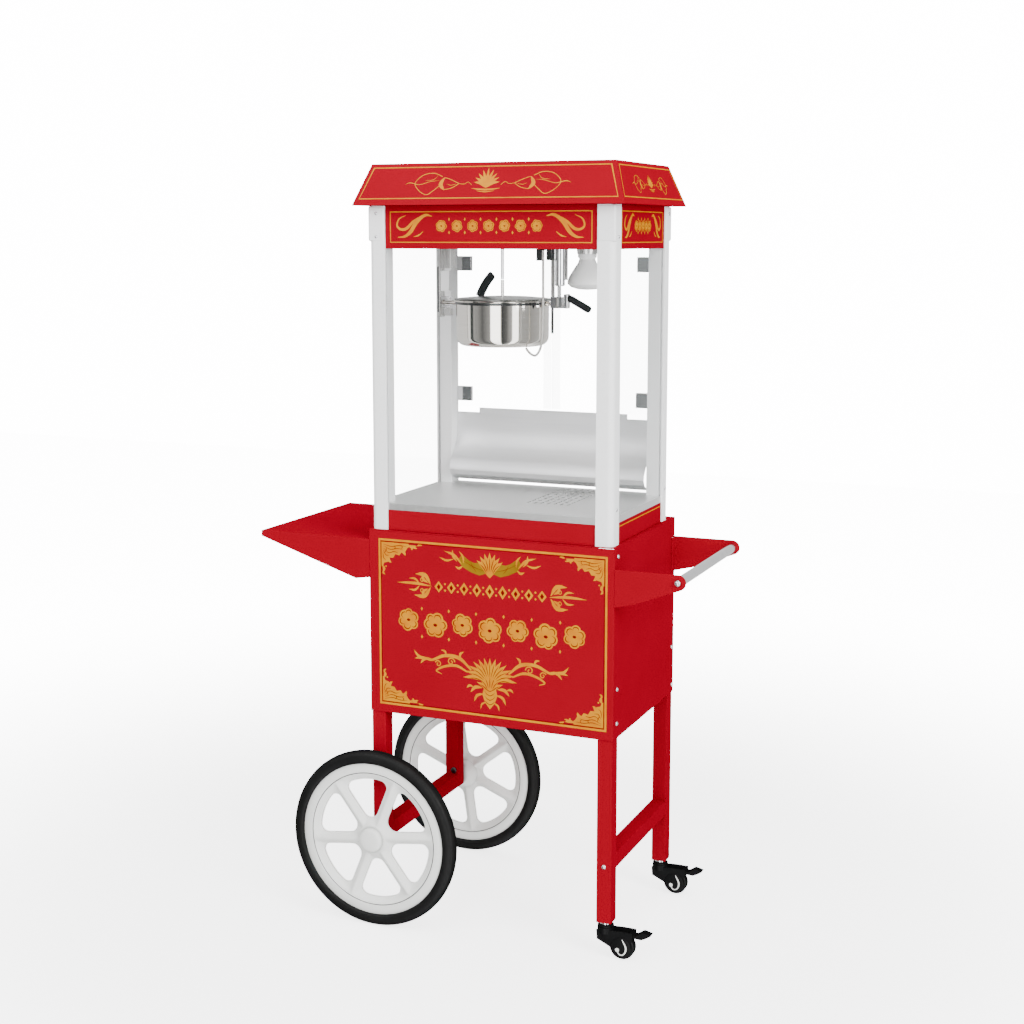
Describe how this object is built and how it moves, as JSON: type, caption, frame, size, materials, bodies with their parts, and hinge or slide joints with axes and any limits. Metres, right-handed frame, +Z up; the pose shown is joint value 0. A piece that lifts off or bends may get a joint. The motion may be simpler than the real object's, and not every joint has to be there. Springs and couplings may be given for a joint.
{
  "type": "popcorn machine cart",
  "caption": "Popcorn machine with a tilting kettle in a glazed cabin, on a red sheet-metal cart with large spoked wheels, braked castors, a side shelf and a handle.",
  "frame": {"origin": "on the ground under the middle of the bounding box", "axes": "+Z up, -Y to the customer's side, +Y to the operator's side, -X to the shelf and large wheels"},
  "size_m": [0.9119, 0.486, 1.53],
  "materials": {
    "red_enamel": "gloss",
    "stainless_steel": "satin",
    "chrome": "polished",
    "white_post": "gloss",
    "black_plastic": "satin",
    "black_rubber": "matt",
    "wheel_plastic": "satin",
    "clear_glass": "polished",
    "lamp_glass": "frosted"
  },
  "bodies": {
    "cart": {"leg_front_left": "red_enamel", "leg_front_right": "red_enamel", "leg_back_left": "red_enamel", "leg_back_right": "red_enamel", "leg_brace": "red_enamel", "axle_beam": "red_enamel", "wheel_axle": "stainless_steel", "cabinet_front_panel": "red_enamel", "cabinet_left_panel": "red_enamel", "cabinet_right_panel": "red_enamel", "cabinet_floor": "red_enamel", "cabinet_top": "red_enamel", "side_shelf": "red_enamel", "handle_bracket_front": "red_enamel", "handle_bracket_back": "red_enamel", "handle_bar": "chrome", "machine_base": "red_enamel", "table_plate": "stainless_steel", "post_front_left": "white_post", "post_front_right": "white_post", "post_back_left": "white_post", "post_back_right": "white_post", "glass_front": "clear_glass", "glass_left": "clear_glass", "glass_right": "clear_glass", "rear_baffle": "stainless_steel", "fascia_band": "red_enamel", "roof": "red_enamel", "ceiling_plate": "stainless_steel", "motor_housing": "stainless_steel", "hanger_left": "stainless_steel", "hanger_right": "chrome", "heat_lamp": "lamp_glass", "kettle_lead": "stainless_steel"},
    "front_wheel": {"wheel_front": "wheel_plastic", "tyre_front": "black_rubber"},
    "back_wheel": {"wheel_back": "wheel_plastic", "tyre_back": "black_rubber"},
    "front_castor": {"castor_fork_front": "black_plastic"},
    "front_castor_wheel": {"castor_wheel_front": "black_rubber"},
    "front_castor_brake": {"castor_brake_front": "black_plastic"},
    "back_castor": {"castor_fork_back": "black_plastic"},
    "back_castor_wheel": {"castor_wheel_back": "black_rubber"},
    "back_castor_brake": {"castor_brake_back": "black_plastic"},
    "drawer": {"crumb_drawer": "stainless_steel"},
    "left_door": {"door_left": "clear_glass", "hinge_clip_left_lower": "chrome", "hinge_clip_left_upper": "chrome"},
    "right_door": {"door_right": "clear_glass", "hinge_clip_right_lower": "chrome", "hinge_clip_right_upper": "chrome"},
    "kettle": {"kettle_pot": "stainless_steel", "kettle_lid_front": "stainless_steel", "tilt_handle": "chrome"},
    "lid_flap": {"kettle_lid_flap": "stainless_steel"},
    "stirrer": {"stirrer": "stainless_steel"},
    "drive": {"drive_shaft": "chrome"},
    "light_switch": {"switch_light": "black_plastic"},
    "motor_switch": {"switch_motor": "black_plastic"},
    "heat_switch": {"switch_heat": "black_plastic"}
  },
  "joints": [
    {"name": "front_wheel_turn", "type": "hinge", "parent": "cart", "child": "front_wheel", "pos_m": [-0.1822, -0.22, 0.182], "axis": [0, 1, 0], "continuous": true},
    {"name": "back_wheel_turn", "type": "hinge", "parent": "cart", "child": "back_wheel", "pos_m": [-0.1822, 0.22, 0.182], "axis": [0, 1, 0], "continuous": true},
    {"name": "front_castor_swivel", "type": "hinge", "parent": "cart", "child": "front_castor", "pos_m": [0.2992, -0.1707, 0.06], "axis": [0, 0, 1], "continuous": true},
    {"name": "front_castor_roll", "type": "hinge", "parent": "front_castor", "child": "front_castor_wheel", "pos_m": [0.3345, -0.1707, 0.025], "axis": [0, 1, 0], "continuous": true},
    {"name": "front_brake_press", "type": "hinge", "parent": "front_castor", "child": "front_castor_brake", "pos_m": [0.3505, -0.1707, 0.05], "axis": [0, 1, 0], "range_deg": [0, 18]},
    {"name": "back_castor_swivel", "type": "hinge", "parent": "cart", "child": "back_castor", "pos_m": [0.2992, 0.1707, 0.06], "axis": [0, 0, 1], "continuous": true},
    {"name": "back_castor_roll", "type": "hinge", "parent": "back_castor", "child": "back_castor_wheel", "pos_m": [0.3345, 0.1707, 0.025], "axis": [0, 1, 0], "continuous": true},
    {"name": "back_brake_press", "type": "hinge", "parent": "back_castor", "child": "back_castor_brake", "pos_m": [0.3505, 0.1707, 0.05], "axis": [0, 1, 0], "range_deg": [0, 18]},
    {"name": "drawer_slide", "type": "slide", "parent": "cart", "child": "drawer", "axis": [0, 1, 0], "range_m": [0, 0.2]},
    {"name": "left_door_swing", "type": "hinge", "parent": "cart", "child": "left_door", "pos_m": [-0.1605, 0.15, 1.197], "axis": [0, 0, 1], "range_deg": [0, 105]},
    {"name": "right_door_swing", "type": "hinge", "parent": "cart", "child": "right_door", "pos_m": [0.2725, 0.15, 1.197], "axis": [0, 0, -1], "range_deg": [0, 105]},
    {"name": "kettle_tilt", "type": "hinge", "parent": "cart", "child": "kettle", "pos_m": [0.013, -0.017, 1.2575], "axis": [-1, 0, 0], "range_deg": [0, 65], "deforming": ["kettle_lead"]},
    {"name": "lid_flap_lift", "type": "hinge", "parent": "kettle", "child": "lid_flap", "pos_m": [0.013, -0.0149, 1.2735], "axis": [1, 0, 0], "range_deg": [0, 75]},
    {"name": "stirrer_spin", "type": "hinge", "parent": "kettle", "child": "stirrer", "pos_m": [0.013, -0.017, 1.24], "axis": [0, 0, 1], "continuous": true},
    {"name": "drive_spin", "type": "hinge", "parent": "cart", "child": "drive", "pos_m": [0.013, -0.017, 1.34], "axis": [0, 0, 1], "continuous": true},
    {"name": "light_switch_rock", "type": "hinge", "parent": "cart", "child": "light_switch", "pos_m": [0.116, 0.1475, 1.409], "axis": [1, 0, 0], "range_deg": [0, 18]},
    {"name": "motor_switch_rock", "type": "hinge", "parent": "cart", "child": "motor_switch", "pos_m": [0.156, 0.1475, 1.409], "axis": [1, 0, 0], "range_deg": [0, 18]},
    {"name": "heat_switch_rock", "type": "hinge", "parent": "cart", "child": "heat_switch", "pos_m": [0.196, 0.1475, 1.409], "axis": [1, 0, 0], "range_deg": [0, 18]}
  ],
  "couplings": [
    {"joint": "drive_spin", "follows": "stirrer_spin", "ratio": 1}
  ]
}
